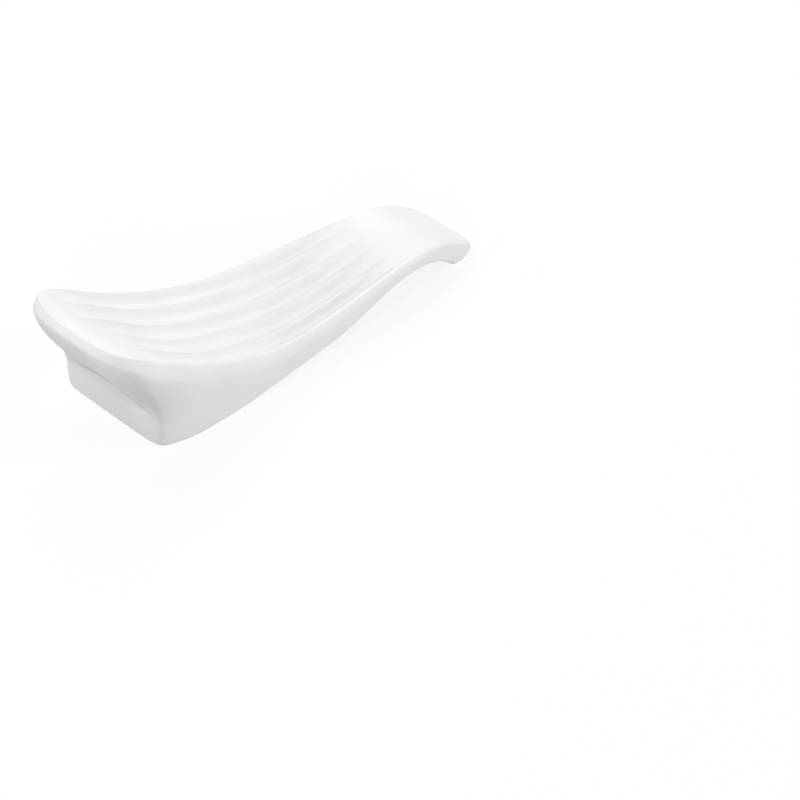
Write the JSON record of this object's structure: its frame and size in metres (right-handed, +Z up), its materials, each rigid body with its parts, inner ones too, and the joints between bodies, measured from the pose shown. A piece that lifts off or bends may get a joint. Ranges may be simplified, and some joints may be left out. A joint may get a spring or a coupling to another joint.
{
  "type": "chopstick rest",
  "caption": "One-piece moulded chopstick rest: a raised head on a block foot sweeps down into a fluted hollow and a thin tail that arches over the table to a curled tip.",
  "frame": {"origin": "on the table plane, under the middle of the rest's length and width", "axes": "+X from the head to the tip, +Y across the rest, +Z up from the table"},
  "size_m": [0.0798, 0.0278, 0.0193],
  "materials": {
    "white_glaze": "satin white, smooth moulded skin with a soft gloss"
  },
  "bodies": {
    "root": {"rest_body": "white_glaze"}
  },
  "joints": []
}
